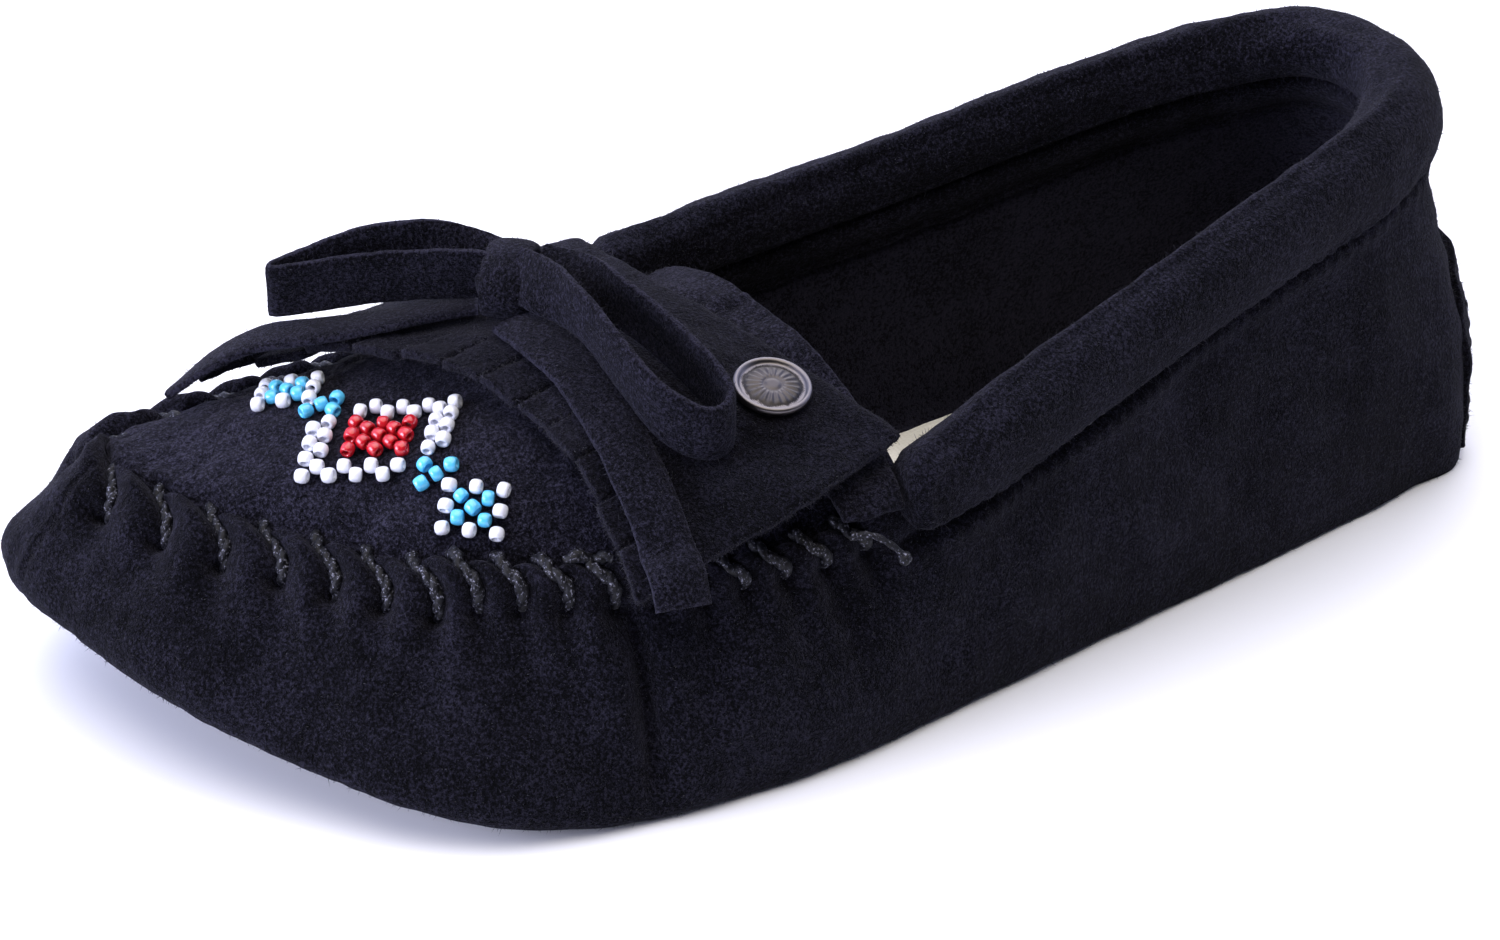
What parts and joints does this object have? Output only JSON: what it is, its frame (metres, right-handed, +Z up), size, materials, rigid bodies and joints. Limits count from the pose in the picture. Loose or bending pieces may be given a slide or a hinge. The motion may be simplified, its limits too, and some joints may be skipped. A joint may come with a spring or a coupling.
{
  "type": "moccasin",
  "caption": "Soft-soled suede moccasin for the left foot, with a gathered toe, beaded apron, fringed flap tied with a suede bow, padded cuff and open foot cavity.",
  "frame": {"origin": "on the ground under the middle of the sole", "axes": "toe towards -Y, heel towards +Y, outer (lateral) side towards +X, +Z up"},
  "size_m": [0.0993, 0.2347, 0.0679],
  "materials": {
    "suede": "napped suede, near-black with a blue cast",
    "waxed_thread": "twisted waxed thread, slight sheen",
    "foam": "closed-cell foam, matt",
    "insole_cloth": "cream brushed cloth",
    "bead_red": "opaque glossy seed bead",
    "bead_white": "opaque glossy seed bead",
    "bead_blue": "opaque glossy seed bead, turquoise",
    "button_metal": "antique nickel, worn bright on the rim"
  },
  "bodies": {
    "shoe": {"wrap": "suede", "heel_tab": "suede", "plug": "suede", "insole_foam": "foam", "insole_cover": "insole_cloth", "cuff": "suede", "cuff_padding": "foam", "cuff_thread": "waxed_thread", "seam_thread": "waxed_thread", "thread_end": "waxed_thread", "throat_tab": "suede", "heel_thread": "waxed_thread", "beads_centre": "bead_red", "beads_chevron_toe": "bead_white", "beads_chevron_heel": "bead_white", "beads_edge_toe": "bead_white", "beads_edge_heel": "bead_white", "beads_corner_far": "bead_blue", "beads_corner_near": "bead_blue", "beads_side_far_ring": "bead_white", "beads_side_far_middle": "bead_blue", "beads_side_near_ring": "bead_white", "beads_side_near_middle": "bead_blue"},
    "flap": {"flap": "suede", "button_cap": "button_metal", "button_post": "button_metal", "button_washer": "button_metal", "lace_knot": "suede", "lace_loop_near": "suede", "lace_loop_far": "suede", "lace_tail_near": "suede", "lace_tail_far": "suede"}
  },
  "joints": [
    {"name": "flap_lift", "type": "hinge", "parent": "shoe", "child": "flap", "pos_m": [0, -0.0038, 0.0445], "axis": [-0.9737, -0.228, 0], "range_deg": [0, 40]}
  ]
}
